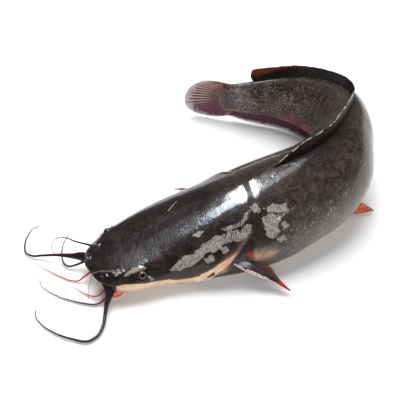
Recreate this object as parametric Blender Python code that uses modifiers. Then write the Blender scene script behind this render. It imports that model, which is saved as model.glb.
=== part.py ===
"""A whole catfish lying on its belly, the body bent in a hook so that the tail points back past the trunk.

Metres, +Z up. The head points towards -X, the fish's right side towards +Y, and z = 0 is the surface it
lies on. The origin is the flat spot of the belly under the middle of the trunk. Millimetre tables are
turned into metres by MM.
"""

import math

import bmesh
import bpy
import numpy as np
from mathutils import Matrix, Vector

MM = 0.001

# The backbone seen from above: from one distance behind the snout to another, it turns by so many degrees.
BENDS = ((17, 102, -17), (99, 209, 10), (185, 260, 46), (259, 319, 66), (315, 380, 29))
SPINE_STEP = 0.5
SPINE_END = 470.0
REST_STATION = 180.0

# Cross-sections, mm: distance behind the snout, half width, top, height of the widest level, bottom,
# how square the upper and lower halves are (2 is an ellipse), and roll to the fish's left in degrees.
SECTIONS = (
    (0, 13.0, 20.5, 16.5, 11.0, 2.2, 2.2, -1.5),
    (6, 22.5, 23.5, 15.5, 7.0, 2.3, 2.3, -1.5),
    (20, 30.3, 27.6, 14.7, 4.0, 2.3, 2.8, -1.5),
    (45, 36.7, 33.3, 14.4, 1.0, 2.2, 3.2, -1.5),
    (80, 42.2, 43.7, 15.2, -1.0, 2.1, 3.6, -1.5),
    (115, 46.6, 55.5, 17.2, -2.0, 1.9, 3.6, -2.0),
    (150, 48.5, 65.8, 21.0, -2.0, 1.8, 3.0, -2.0),
    (190, 43.3, 75.0, 27.0, -2.0, 1.65, 2.5, -2.5),
    (235, 34.6, 79.7, 32.3, -1.5, 1.7, 2.0, -2.0),
    (275, 25.8, 78.0, 35.0, -0.5, 1.75, 2.0, 2.5),
    (320, 16.5, 69.4, 33.7, 7.0, 1.9, 2.0, 7.0),
    (365, 9.7, 53.8, 29.5, 10.0, 2.0, 2.0, 8.0),
    (410, 4.8, 39.8, 26.0, 10.5, 2.0, 2.0, 7.0),
    (419, 2.0, 35.5, 25.0, 14.0, 2.0, 2.0, 7.0),
)
NOSE_BULGE = 1.5
NOSE_RINGS = 2
RING_SPACING = 5.0
RING_POINTS = 30

# The gill cover ends in a step of the skin: the angle round the section, and the distance behind the snout.
GILL_EDGE = ((-60, 104), (-12, 103), (0, 106), (12, 111), (28, 120), (38, 129), (60, 134))
GILL_STEP = 1.6
GILL_RISE = 22.0
GILL_DROP = 6.0

# The mouth is a thin flat slot into the front of the head, from one corner to the other.
SKIN_GAP = 0.35
MOUTH_CENTRE = (8.0, 0.0, 11.2)
MOUTH_RADII = (11.0, 33.0, 1.5)

EYE_STATION = 31.0
EYE_SIDE = 28.6
EYE_RADIUS = 4.2
EYE_SUNK = 2.7
EYE_GAP = 0.35
EYELID_RING_RADIUS = 4.1
EYELID_THICKNESS = 0.75

# Fins, mm. The dorsal fin: distance behind the snout, and height above the back.
DORSAL_FIN = ((163, 0.2), (170, 4.0), (180, 8.5), (195, 12.0), (215, 13.0), (245, 12.5), (275, 10.5),
              (305, 9.5), (330, 10.0), (352, 11.3), (375, 12.0), (385, 11.2))
DORSAL_TIP = (389.5, 8.0)
DORSAL_ROOT_END = 384.0
DORSAL_TIP_FROM = 372.0
# The anal fin is folded to the fish's right under the trunk and hangs under the tail: distance behind the
# snout, then sideways and height of its root, then of its margin.
ANAL_FIN = ((238, 12, 2.2, 14, 1.1), (252, 12, 2.6, 23, 1.0), (275, 9, 3.2, 21, 1.0), (298, 4, 6.5, 15, 1.0),
            (320, 0, 10, 7, 0.8), (345, 0, 12, 3, 0.6), (368, 0, 13, 2, 0.8), (390, 0, 13, 1, 1.8),
            (402, 0, 12.5, 0, 3.2), (409, 0, 12, 0, 4.6))
ANAL_FIN_ROOT_RAISED = 0.6
ANAL_FIN_THICKNESS = 1.3
# The tail fin's rounded margin from top to bottom: distance behind the snout, and height.
TAIL_FIN = ((411, 40.5), (424, 41.4), (434, 40), (443.5, 34.8), (450, 27), (452.5, 17.5), (450.5, 8.8),
            (444, 4), (432, 1.4), (420, 2.2), (411, 8.0))
TAIL_FIN_ROOT = 408.0
TAIL_FIN_ROOT_TOP = 38.0
TAIL_FIN_ROOT_BOTTOM = 12.0
# Paired fins, mm: distance behind the snout, out from the backbone and height, along the leading and rear edges.
# The left breast fin is swept back with its tip on the table, the right one stands straight out and a little
# forward, and the belly fins match.
PECTORAL_LEAD_LEFT = ((108, 38, 20), (112.5, 44.8, 19.2), (122.5, 53, 13.5), (132.5, 60, 9.5), (138, 63.8, 7.3),
                      (147, 72.8, 2.6))
PECTORAL_REAR_LEFT = ((118, 37, 24), (124.5, 43.8, 20.5), (134, 47.4, 17), (139.5, 51.8, 12.5), (143, 60.3, 6),
                      (147.5, 72.5, 2.2))
PECTORAL_LEAD_RIGHT = ((106, 36, 20), (103, 46, 17.5), (100, 54, 15), (97.5, 60, 12.5), (95.5, 65, 10))
PECTORAL_REAR_RIGHT = ((117, 36, 25), (114, 46, 21), (109, 54, 17), (103, 60, 13), (96.5, 65, 9.5))
PECTORAL_SPINE_RADII = (2.6, 0.9)
PELVIC_LEAD = ((214, 14, 5), (219, 22, 3), (226, 32, 2), (232.5, 41, 1.6))
PELVIC_REAR = ((224, 14, 9), (228, 23, 8.5), (232, 31, 6), (233, 40, 1.8))
PAIRED_FIN_THICKNESS = 1.7
FIN_ROOT_SUNK = 2.5
FIN_ROOT_THICKNESS = 2.4
FIN_MARGIN_SHARE = 0.45
FIN_LOWEST = 1.0

# Barbels, mm: radius at the base and at the tip, then points from the snout along the fish, to its right and up.
# Each starts inside the head and is cut off where it leaves the skin. Its radius falls from the base to the tip
# as exp(-taper times the way along), with a small straight share, and it lies just clear of the table.
BARBELS = {
    "maxillary_left": (4.0, 1.2, ((12, -17, 14), (5, -20, 12.5), (-0.7, -25.4, 9), (-6.9, -33, 5.5), (-14, -41, 3.2),
                                  (-21.4, -45.6, 2.2), (-29.4, -46.2, 2), (-39.2, -37, 1.8), (-47.5, -24.5, 1.7),
                                  (-52, -11.5, 1.5), (-52.3, -2.4, 1.4), (-49.7, 4, 1.3))),
    "maxillary_right": (4.0, 1.2, ((12, 17, 14), (7, 24, 13.5), (1.6, 28.7, 12), (-11.6, 42.5, 7), (-20, 51, 3.6),
                                   (-25.5, 55.5, 2.3), (-28.5, 61.5, 2), (-25.6, 70.7, 1.7), (-18, 80, 1.5),
                                   (-10, 84.6, 1.4), (-5.4, 84.1, 1.3))),
    "nasal_left": (1.1, 0.6, ((17, -16, 20), (14.5, -15.6, 26.4), (10, -14, 27), (4.4, -8, 25), (-0.8, -4.4, 21),
                              (-3.8, -4.8, 14), (-6.4, -6, 9), (-9.7, -10.6, 1.4))),
    "nasal_right": (1.3, 0.7, ((15, 18, 23.5), (12.3, 24.5, 21.2), (6, 35.4, 19), (1.9, 48, 15), (-0.8, 53.6, 12),
                               (-5, 56, 8.6), (-8.6, 54.4, 5.6), (-9.6, 47.2, 1.8))),
    "mandible_outer_left": (1.5, 0.7, ((9, -13, 11), (4, -17.4, 5.6), (-2, -19, 2.4), (-7.5, -18, 1.8), (-13.6, -12.7, 1.5),
                                       (-20.3, -4.9, 1.3), (-26.5, 3.9, 1.2), (-31.4, 13.7, 1.1), (-34, 23.6, 1),
                                       (-32.1, 31.1, 1))),
    "mandible_outer_right": (1.7, 0.7, ((9, 17, 11), (4.4, 21.5, 8), (-1.6, 24.2, 5.6), (-6.4, 28.4, 2.8), (-7.7, 33.5, 1.8),
                                        (-6.3, 40.1, 1.4), (-3, 47.1, 1.2), (2.1, 54.3, 1.1), (6.7, 58.3, 1),
                                        (12.3, 61.7, 1))),
    "mandible_inner_left": (1.5, 0.6, ((8, -10, 9.5), (2.5, -13.6, 6.4), (-3.7, -12, 2.9), (-7.3, -7, 1.6),
                                       (-10.7, 1.2, 1.2), (-13.8, 9.9, 1), (-14.7, 12.7, 0.9))),
    "mandible_inner_right": (1.5, 0.6, ((8, 7, 10), (3, 9.3, 7), (-2.2, 10.4, 3.9), (-6.9, 10.9, 1.9), (-11.2, 14.6, 1.4),
                                        (-15.5, 21.5, 1.2), (-20.2, 30.7, 1.1), (-24.8, 41.7, 1), (-29.8, 55.2, 0.9))),
}
BARBEL_TAPER = 5.0
BARBEL_STRAIGHT_SHARE = 0.12
BARBEL_LYING_HEIGHT = 1.05
BARBEL_POINTS_BETWEEN = 2
BARBEL_BEVEL_RESOLUTION = 1

SKIN_COLOUR = (0.035, 0.026, 0.023, 1.0)
FIN_COLOUR = (0.16, 0.05, 0.045, 1.0)
EYE_COLOUR = (0.16, 0.085, 0.06, 1.0)
SKIN_ROUGHNESS = 0.28
EYE_ROUGHNESS = 0.08


def smooth_step(t):
    """0 to 1 with level ends: 3 t squared minus 2 t cubed."""
    t = np.clip(t, 0.0, 1.0)
    return t * t * (3 - 2 * t)


def backbone():
    """Distance, heading, x and y of the backbone, mm, with the snout at x = y = 0."""
    s = np.arange(0, SPINE_END, SPINE_STEP)
    heading = sum(math.radians(turn) * smooth_step((s - start) / (end - start)) for start, end, turn in BENDS)
    middle = (heading[1:] + heading[:-1]) / 2
    x = np.concatenate([[0], np.cumsum(np.cos(middle) * SPINE_STEP)])
    y = np.concatenate([[0], np.cumsum(np.sin(middle) * SPINE_STEP)])
    return s, heading, x, y


BACKBONE = backbone()
ORIGIN_X = float(np.interp(REST_STATION, BACKBONE[0], BACKBONE[2]))
ORIGIN_Y = float(np.interp(REST_STATION, BACKBONE[0], BACKBONE[3]))


def even_cubic(known, values, at):
    """A cubic through the values that never overshoots them (slopes are weighted harmonic means)."""
    known, values = np.asarray(known, float), np.asarray(values, float)
    step = np.diff(known)
    rise = np.diff(values) / step
    slope = np.zeros_like(values)
    before, after = rise[:-1], rise[1:]
    w1, w2 = 2 * step[1:] + step[:-1], step[1:] + 2 * step[:-1]
    same_way = before * after > 0
    total = np.where(same_way, w1 / np.where(same_way, before, 1) + w2 / np.where(same_way, after, 1), 1)
    slope[1:-1] = np.where(same_way, (w1 + w2) / total, 0)
    slope[0], slope[-1] = rise[0], rise[-1]
    i = np.clip(np.searchsorted(known, at, side="right") - 1, 0, len(step) - 1)
    t = (at - known[i]) / step[i]
    return (
        (2 * t**3 - 3 * t**2 + 1) * values[i]
        + (t**3 - 2 * t**2 + t) * step[i] * slope[i]
        + (3 * t**2 - 2 * t**3) * values[i + 1]
        + (t**3 - t**2) * step[i] * slope[i + 1]
    )


def section_at(s):
    table = np.array(SECTIONS, float)
    s = np.clip(s, table[0, 0], table[-1, 0])
    return [even_cubic(table[:, 0], table[:, column], s) for column in range(1, table.shape[1])]


def place(s, sideways, height):
    """Points given by distance behind the snout, sideways to the right and height, mm, into the world in metres.

    The section is rolled about its widest level, and nothing goes below the surface it lies on."""
    s, sideways, height = np.broadcast_arrays(*(np.asarray(v, float) for v in (s, sideways, height)))
    level, roll = section_at(s)[2], np.radians(section_at(s)[6])
    across = sideways * np.cos(roll) - (height - level) * np.sin(roll)
    up = level + sideways * np.sin(roll) + (height - level) * np.cos(roll)
    x, y, heading = (np.interp(s, BACKBONE[0], BACKBONE[k]) for k in (2, 3, 1))
    world = [x - across * np.sin(heading) - ORIGIN_X, y + across * np.cos(heading) - ORIGIN_Y, np.maximum(up, 0)]
    return np.stack(world, -1) * MM


def from_snout(points):
    """Points in mm straight from the snout, as the head lies, into the world in metres."""
    return (np.asarray(points, float) - (ORIGIN_X, ORIGIN_Y, 0)) * MM


def smooth_path(points, between):
    """A cubic through the points, with its slope at each taken from its two neighbours."""
    points = np.asarray(points, float)
    t = np.concatenate([[0], np.cumsum(np.linalg.norm(np.diff(points, axis=0), axis=1))])
    slope = np.gradient(points, t, axis=0)
    at = np.concatenate([np.linspace(a, b, between, endpoint=False) for a, b in zip(t[:-1], t[1:])] + [[t[-1]]])
    i = np.clip(np.searchsorted(t, at, side="right") - 1, 0, len(t) - 2)
    step = (t[i + 1] - t[i])[:, None]
    u = (at - t[i])[:, None] / step
    return (
        (2 * u**3 - 3 * u**2 + 1) * points[i]
        + (u**3 - 2 * u**2 + u) * step * slope[i]
        + (3 * u**2 - 2 * u**3) * points[i + 1]
        + (u**3 - u**2) * step * slope[i + 1]
    )


def along(points, count):
    """The smooth path through the points, at evenly spaced distances."""
    fine = smooth_path(points, 16)
    t = np.concatenate([[0], np.cumsum(np.linalg.norm(np.diff(fine, axis=0), axis=1))])
    at = np.linspace(0, t[-1], count)
    return np.stack([np.interp(at, t, fine[:, k]) for k in range(fine.shape[1])], -1)


def gill_relief(s, angle):
    """How far the gill cover stands out of the skin: it rises slowly and ends in a step."""
    side = np.degrees(np.arcsin(np.sin(angle)))
    edge_angle, edge_s = np.array(GILL_EDGE, float).T
    edge = np.interp(side, edge_angle, edge_s)
    covered = np.where((side > edge_angle[0]) & (side < edge_angle[-1]), 1.0, 0.0)
    fade = smooth_step((side - edge_angle[0]) / 20) * smooth_step((edge_angle[-1] - side) / 20)
    rise = smooth_step((s - edge + GILL_RISE) / GILL_RISE) * smooth_step((edge + GILL_DROP - s) / GILL_DROP)
    return GILL_STEP * covered * fade * rise


def skin(s, angle, swell=0.0):
    """The skin at a distance behind the snout and an angle round the section (0 right, a quarter turn is up)."""
    half, top, level, bottom, upper, lower, _ = section_at(s)
    c, q = np.cos(angle), np.sin(angle)
    power = np.where(q >= 0, 2 / upper, 2 / lower)
    out = 1 + (gill_relief(s, angle) + swell) / half
    sideways = half * out * np.sign(c) * np.abs(c) ** power
    reach = np.where(q >= 0, top - level, level - bottom) + swell
    height = level + reach * np.sign(q) * np.abs(q) ** power
    return place(s, sideways, height)


def link(obj, collection):
    collection.objects.link(obj)
    return obj


def mesh_object(name, points, faces, collection):
    mesh = bpy.data.meshes.new(name)
    mesh.from_pydata([tuple(p) for p in points], [], [tuple(f) for f in faces])
    mesh.validate()
    work = bmesh.new()
    work.from_mesh(mesh)
    bmesh.ops.recalc_face_normals(work, faces=work.faces)
    work.to_mesh(mesh)
    work.free()
    return link(bpy.data.objects.new(name, mesh), collection)


def evaluated_mesh(obj, name):
    graph = bpy.context.evaluated_depsgraph_get()
    graph.update()
    return bpy.data.meshes.new_from_object(obj.evaluated_get(graph), depsgraph=graph)


def make_body(name, collection, swell=0.0):
    """The loft of the cross-sections, closed by a rounded nose and, inside the tail fin, by a small end."""
    stations = np.linspace(0, SECTIONS[-1][0], round(SECTIONS[-1][0] / RING_SPACING) + 1)
    angles = np.linspace(0, 2 * math.pi, RING_POINTS, endpoint=False)
    rings = [skin(np.full(RING_POINTS, s), angles, swell) for s in stations]
    first = rings[0]
    middle = first.mean(axis=0)
    nose = []
    for k in range(NOSE_RINGS, 0, -1):
        lift = math.radians(90 * k / (NOSE_RINGS + 1))
        nose.append(middle + (first - middle) * math.cos(lift) - ((NOSE_BULGE + swell) * MM * math.sin(lift), 0, 0))
    rings = nose + rings
    points = np.concatenate(rings + [[middle - ((NOSE_BULGE + swell) * MM, 0, 0)], [rings[-1].mean(axis=0)]])
    faces = []
    for k in range(len(rings) - 1):
        a, b = k * RING_POINTS, (k + 1) * RING_POINTS
        for j in range(RING_POINTS):
            n = (j + 1) % RING_POINTS
            faces.append((a + j, a + n, b + n, b + j))
    nose_pole, tail_pole = len(points) - 2, len(points) - 1
    last = (len(rings) - 1) * RING_POINTS
    for j in range(RING_POINTS):
        n = (j + 1) % RING_POINTS
        faces.append((nose_pole, n, j))
        faces.append((tail_pole, last + j, last + n))
    return mesh_object(name, points, faces, collection)


def make_sheet(name, root, margin, rows, collection, thickness=FIN_ROOT_THICKNESS):
    """A fin: an open sheet ruled from its root line to its margin, thickened by Solidify, thinner at the margin."""
    count = len(root)
    v = np.linspace(0, 1, rows)[:, None, None]
    points = (root[None] * (1 - v) + margin[None] * v).reshape(-1, 3)
    faces = []
    for r in range(rows - 1):
        for k in range(count - 1):
            a = r * count + k
            faces.append((a, a + 1, a + count + 1, a + count))
    mesh = bpy.data.meshes.new(name)
    mesh.from_pydata([tuple(p) for p in points], [], faces)
    sheet = link(bpy.data.objects.new(name, mesh), collection)
    group = sheet.vertex_groups.new(name="thick")
    for r in range(rows):
        share = 1 - (1 - FIN_MARGIN_SHARE) * r / (rows - 1)
        group.add(list(range(r * count, (r + 1) * count)), share, "REPLACE")
    solidify = sheet.modifiers.new("thickness", "SOLIDIFY")
    solidify.thickness = thickness * MM
    solidify.offset = 0
    solidify.vertex_group = "thick"
    solidify.thickness_vertex_group = 0
    sheet.data = evaluated_mesh(sheet, name)
    sheet.modifiers.clear()
    return sheet


def make_dorsal_fin(collection):
    table = np.array(DORSAL_FIN, float)
    s = np.linspace(table[0, 0], table[-1, 0], 46)
    height = even_cubic(table[:, 0], table[:, 1], s)
    root_s = s[0] + (s - s[0]) * (DORSAL_ROOT_END - s[0]) / (s[-1] - s[0])
    tip = smooth_step((s - DORSAL_TIP_FROM) / (s[-1] - DORSAL_TIP_FROM))
    margin_s = s + tip * (DORSAL_TIP[0] - s[-1])
    root = place(root_s, 0, section_at(root_s)[1] - FIN_ROOT_SUNK)
    margin = place(margin_s, 0, section_at(root_s)[1] + height)
    return make_sheet("dorsal_fin", root, margin, 3, collection)


def make_anal_fin(collection):
    table = np.array(ANAL_FIN, float)
    s = np.linspace(table[0, 0], table[-1, 0], 36)
    root_side, root_up, margin_side, margin_up = (even_cubic(table[:, 0], table[:, k], s) for k in range(1, 5))
    root = place(s, root_side, root_up)
    margin = place(s, margin_side, margin_up)
    root[:, 2] += ANAL_FIN_ROOT_RAISED * MM
    margin[:, 2] = np.maximum(margin[:, 2], FIN_LOWEST * MM)
    return make_sheet("anal_fin", root, margin, 3, collection, ANAL_FIN_THICKNESS)


def make_tail_fin(collection):
    margin = along(TAIL_FIN, 19)
    root_up = np.linspace(TAIL_FIN_ROOT_TOP, TAIL_FIN_ROOT_BOTTOM, len(margin))
    root = place(np.full(len(margin), TAIL_FIN_ROOT), 0, root_up)
    return make_sheet("tail_fin", root, place(margin[:, 0], 0, margin[:, 1]), 5, collection)


def make_paired_fin(name, lead, rear, side, collection):
    """A breast or belly fin. Side is 1 on the left and -1 on the right."""
    edges = []
    for edge in (lead, rear):
        line = along(edge, 9)
        edge = place(line[:, 0], -side * line[:, 1], line[:, 2])
        edge[:, 2] = np.maximum(edge[:, 2], FIN_LOWEST * MM)
        edges.append(edge)
    sheet = make_sheet(name, edges[0], edges[1], 5, collection, PAIRED_FIN_THICKNESS)
    return sheet, edges[0]


def make_tube(name, points, radii, collection):
    """A tapering round thread: a curve with a bevel, made a mesh, its caps welded on."""
    curve = bpy.data.curves.new(name, "CURVE")
    curve.dimensions = "3D"
    curve.bevel_depth = MM
    curve.bevel_resolution = BARBEL_BEVEL_RESOLUTION
    curve.use_fill_caps = True
    spline = curve.splines.new("POLY")
    spline.points.add(len(points) - 1)
    for point, here, radius in zip(spline.points, points, radii):
        point.co = (*here, 1)
        point.radius = radius
    guide = link(bpy.data.objects.new(name + "_curve", curve), collection)
    mesh = evaluated_mesh(guide, name)
    work = bmesh.new()
    work.from_mesh(mesh)
    bmesh.ops.remove_doubles(work, verts=work.verts, dist=0.00001)
    bmesh.ops.recalc_face_normals(work, faces=work.faces)
    work.to_mesh(mesh)
    work.free()
    tube = link(bpy.data.objects.new(name, mesh), collection)
    tube.matrix_world = guide.matrix_world
    bpy.data.objects.remove(guide)
    return tube


def make_barbel(name, collection):
    base, tip, points = BARBELS[name]
    path = smooth_path(from_snout(points), BARBEL_POINTS_BETWEEN)
    t = np.linspace(0, 1, len(path))
    radii = tip + (base - tip) * (1 - t) * (np.exp(-t * BARBEL_TAPER) + BARBEL_STRAIGHT_SHARE)
    path[:, 2] = np.maximum(path[:, 2], radii * MM * BARBEL_LYING_HEIGHT)
    return make_tube("barbel_" + name, path, radii, collection)


def eye_frame(side):
    """Where the eye sits on the skin, and the way it looks. Side is 1 on the left."""
    angles = np.linspace(0.2, math.pi / 2, 200) if side < 0 else np.linspace(math.pi / 2, math.pi - 0.2, 200)
    s = np.full(len(angles), EYE_STATION)
    half, _, _, _, upper, _, _ = section_at(s)
    reach = half * np.abs(np.cos(angles)) ** (2 / upper)
    angle = angles[np.argmin(np.abs(reach - EYE_SIDE))]
    here = skin(EYE_STATION, angle)
    ahead = skin(EYE_STATION + 1, angle) - skin(EYE_STATION - 1, angle)
    round_it = skin(EYE_STATION, angle + 0.02) - skin(EYE_STATION, angle - 0.02)
    look = Vector(np.cross(round_it, ahead)).normalized()
    return Vector(here), look


def ball(name, centre, radius, collection, segments=16, rings=10):
    mesh = bpy.data.meshes.new(name)
    work = bmesh.new()
    bmesh.ops.create_uvsphere(work, u_segments=segments, v_segments=rings, radius=radius * MM)
    work.to_mesh(mesh)
    work.free()
    obj = link(bpy.data.objects.new(name, mesh), collection)
    obj.location = centre
    return obj


def make_eyelid(name, centre, look, collection):
    bpy.ops.mesh.primitive_torus_add(
        major_radius=EYELID_RING_RADIUS * MM, minor_radius=EYELID_THICKNESS * MM, major_segments=20, minor_segments=6
    )
    ring = bpy.context.active_object
    ring.name = name
    for owner in list(ring.users_collection):
        owner.objects.unlink(ring)
    link(ring, collection)
    ring.rotation_euler = look.to_track_quat("Z", "Y").to_euler()
    ring.location = centre
    return ring


def union(body, others):
    """One Boolean union of the body with a whole collection, applied; the collection's objects are then removed."""
    join = body.modifiers.new("join", "BOOLEAN")
    join.operation = "UNION"
    join.operand_type = "COLLECTION"
    join.collection = others
    join.solver = "EXACT"
    joined = evaluated_mesh(body, body.name)
    body.modifiers.clear()
    body.data = joined
    for obj in list(others.objects):
        bpy.data.objects.remove(obj)
    bpy.data.collections.remove(others)


def cut(body, cutters):
    """A Boolean difference with a collection of cutters, left as a modifier."""
    carve = body.modifiers.new("cut", "BOOLEAN")
    carve.operation = "DIFFERENCE"
    carve.operand_type = "COLLECTION"
    carve.collection = cutters
    carve.solver = "EXACT"
    for obj in cutters.objects:
        obj.hide_render = True
        obj.display_type = "WIRE"


def make_material(name, colour, roughness):
    material = bpy.data.materials.new(name)
    material.use_nodes = True
    shader = material.node_tree.nodes["Principled BSDF"]
    shader.inputs["Base Color"].default_value = colour
    shader.inputs["Roughness"].default_value = roughness
    shader.inputs["Metallic"].default_value = 0.0
    return material


def finish(obj, material):
    obj.data.materials.clear()
    obj.data.materials.append(material)
    obj.data.shade_smooth()


for old in list(bpy.data.objects):
    bpy.data.objects.remove(old)

part = bpy.data.collections.new("catfish_part")
pieces = bpy.data.collections.new("fused_pieces")
mouth_cutters = bpy.data.collections.new("mouth_cutters")
socket_cutters = bpy.data.collections.new("socket_cutters")
skin_cutters = bpy.data.collections.new("skin_cutters")
for collection in (part, pieces, mouth_cutters, socket_cutters, skin_cutters):
    bpy.context.scene.collection.children.link(collection)

# The body, with its unpaired fins and the rims of its eyes fused on.
catfish = make_body("catfish", part)
make_dorsal_fin(pieces)
make_anal_fin(pieces)
make_tail_fin(pieces)
eyes = []
for side, word in ((1, "left"), (-1, "right")):
    here, look = eye_frame(side)
    centre = here - look * EYE_SUNK * MM
    make_eyelid("eyelid_" + word, here, look, pieces)
    ball("socket_" + word, centre, EYE_RADIUS + EYE_GAP, socket_cutters, segments=20, rings=12)
    eyes.append(ball("eye_" + word, centre, EYE_RADIUS, part))
union(catfish, pieces)
slot = ball("mouth_slot", from_snout(MOUTH_CENTRE), 1.0, mouth_cutters, segments=32, rings=10)
slot.data.transform(Matrix.Diagonal((*MOUTH_RADII, 1.0)))
cut(catfish, mouth_cutters)
cut(catfish, socket_cutters)

# The paired fins and the barbels are pieces of their own, cut off just outside the skin.
make_body("skin_clearance", skin_cutters, SKIN_GAP)
fins = []
breast_edges = {"left": (PECTORAL_LEAD_LEFT, PECTORAL_REAR_LEFT), "right": (PECTORAL_LEAD_RIGHT, PECTORAL_REAR_RIGHT)}
for side, word in ((1, "left"), (-1, "right")):
    pectoral, lead = make_paired_fin("pectoral_fin_" + word, *breast_edges[word], side, part)
    spine = bpy.data.collections.new("spine_" + word)
    bpy.context.scene.collection.children.link(spine)
    make_tube("spine_tube_" + word, lead[:-1], np.linspace(*PECTORAL_SPINE_RADII, len(lead) - 1), spine)
    union(pectoral, spine)
    pelvic, _ = make_paired_fin("pelvic_fin_" + word, PELVIC_LEAD, PELVIC_REAR, side, part)
    fins += [pectoral, pelvic]
threads = [make_barbel(name, part) for name in BARBELS]
for obj in fins + threads:
    cut(obj, skin_cutters)

finish(catfish, make_material("skin", SKIN_COLOUR, SKIN_ROUGHNESS))
for obj in eyes:
    finish(obj, make_material(obj.name + "_wet", EYE_COLOUR, EYE_ROUGHNESS))
for obj in fins:
    finish(obj, make_material(obj.name + "_skin", FIN_COLOUR, SKIN_ROUGHNESS))
for obj in threads:
    finish(obj, make_material(obj.name + "_skin", SKIN_COLOUR, SKIN_ROUGHNESS))
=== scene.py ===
import math

import bpy
import numpy as np
from mathutils import Matrix


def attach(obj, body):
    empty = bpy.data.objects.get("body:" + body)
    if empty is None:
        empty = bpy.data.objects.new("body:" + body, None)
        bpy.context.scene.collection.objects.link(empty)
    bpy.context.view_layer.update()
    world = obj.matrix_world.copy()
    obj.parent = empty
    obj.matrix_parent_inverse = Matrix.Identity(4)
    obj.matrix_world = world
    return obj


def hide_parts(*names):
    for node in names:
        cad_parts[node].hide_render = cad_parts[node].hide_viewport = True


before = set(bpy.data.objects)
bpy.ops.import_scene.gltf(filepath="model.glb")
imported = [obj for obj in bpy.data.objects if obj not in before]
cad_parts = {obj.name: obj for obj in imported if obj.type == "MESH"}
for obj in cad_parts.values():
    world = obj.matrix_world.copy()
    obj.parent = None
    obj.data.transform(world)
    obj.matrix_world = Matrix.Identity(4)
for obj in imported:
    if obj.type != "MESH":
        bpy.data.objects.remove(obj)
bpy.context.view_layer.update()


# The skin. The real one has no scales: it is thin, wet and slimy, near black above and cream below. The
# head is a flat bony shield, the gill cover ends in a pink-edged flap, and grey patches lie on the flank
# and by the eye, partly dried slime and partly painted reflection of the wet skin.

MM = 0.001
BENDS = ((17, 102, -17), (99, 209, 10), (185, 260, 46), (259, 319, 66), (315, 380, 29))
REST_STATION = 180.0
SECTIONS = (
    (0, 13.0, 20.5, 16.5, 11.0, 2.2, 2.2, -1.5),
    (6, 22.5, 23.5, 15.5, 7.0, 2.3, 2.3, -1.5),
    (20, 30.3, 27.6, 14.7, 4.0, 2.3, 2.8, -1.5),
    (45, 36.7, 33.3, 14.4, 1.0, 2.2, 3.2, -1.5),
    (80, 42.2, 43.7, 15.2, -1.0, 2.1, 3.6, -1.5),
    (115, 46.6, 55.5, 17.2, -2.0, 1.9, 3.6, -2.0),
    (150, 48.5, 65.8, 21.0, -2.0, 1.8, 3.0, -2.0),
    (190, 43.3, 75.0, 27.0, -2.0, 1.65, 2.5, -2.5),
    (235, 34.6, 79.7, 32.3, -1.5, 1.7, 2.0, -2.0),
    (275, 25.8, 78.0, 35.0, -0.5, 1.75, 2.0, 2.5),
    (320, 16.5, 69.4, 33.7, 7.0, 1.9, 2.0, 7.0),
    (365, 9.7, 53.8, 29.5, 10.0, 2.0, 2.0, 8.0),
    (410, 4.8, 39.8, 26.0, 10.5, 2.0, 2.0, 7.0),
    (419, 0.8, 38.0, 25.0, 11.0, 2.0, 2.0, 7.0),
)


def smooth_step(t):
    """3 t^2 - 2 t^3 between 0 and 1."""
    t = np.clip(t, 0.0, 1.0)
    return t * t * (3 - 2 * t)


def fade(value, start, end):
    """0 at start and 1 at end, with smooth_step between them."""
    return smooth_step((value - start) / (end - start))


def stretch(value, start, full, fades, end):
    """0 at start, 1 from full to fades, and 0 again at end."""
    return fade(value, start, full) * fade(value, end, fades)


def backbone():
    """Distance, heading, x and y along the backbone: the heading sums the bends, the path integrates it."""
    s = np.arange(0, 470, 0.5)
    heading = sum(math.radians(turn) * fade(s, start, end) for start, end, turn in BENDS)
    middle = (heading[1:] + heading[:-1]) / 2
    x = np.concatenate([[0], np.cumsum(np.cos(middle) * 0.5)])
    y = np.concatenate([[0], np.cumsum(np.sin(middle) * 0.5)])
    return s, heading, x, y


SPINE = backbone()
ORIGIN = np.array([np.interp(REST_STATION, SPINE[0], along) for along in SPINE[2:]] + [0.0])


def hermite(t, start, end, slope_start, slope_end):
    """(2t^3 - 3t^2 + 1) start + (t^3 - 2t^2 + t) slope_start + (3t^2 - 2t^3) end + (t^3 - t^2) slope_end"""
    at_ends = (2 * t**3 - 3 * t**2 + 1) * start + (3 * t**2 - 2 * t**3) * end
    return at_ends + (t**3 - 2 * t**2 + t) * slope_start + (t**3 - t**2) * slope_end


def even_cubic(known, values, at):
    """A cubic through the values without overshoot: each slope is a harmonic mean of the rises beside it."""
    known, values = np.asarray(known, float), np.asarray(values, float)
    step = np.diff(known)
    rise = np.diff(values) / step
    slope = np.zeros_like(values)
    before, after = rise[:-1], rise[1:]
    w1, w2 = 2 * step[1:] + step[:-1], step[1:] + 2 * step[:-1]
    same_way = before * after > 0
    total = np.where(same_way, w1 / np.where(same_way, before, 1) + w2 / np.where(same_way, after, 1), 1)
    slope[1:-1] = np.where(same_way, (w1 + w2) / total, 0)
    slope[0], slope[-1] = rise[0], rise[-1]
    i = np.clip(np.searchsorted(known, at, side="right") - 1, 0, len(step) - 1)
    t = (at - known[i]) / step[i]
    return hermite(t, values[i], values[i + 1], step[i] * slope[i], step[i] * slope[i + 1])


def columns_at(table, s):
    """Each further column of a table of stations, at the stations s, by even_cubic."""
    table = np.array(table, float)
    s = np.clip(s, table[0, 0], table[-1, 0])
    return [even_cubic(table[:, 0], table[:, column], s) for column in range(1, table.shape[1])]


def section_at(s):
    """Half width, top, widest level, bottom, the two exponents and the roll of the section at s."""
    return columns_at(SECTIONS, s)


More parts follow.
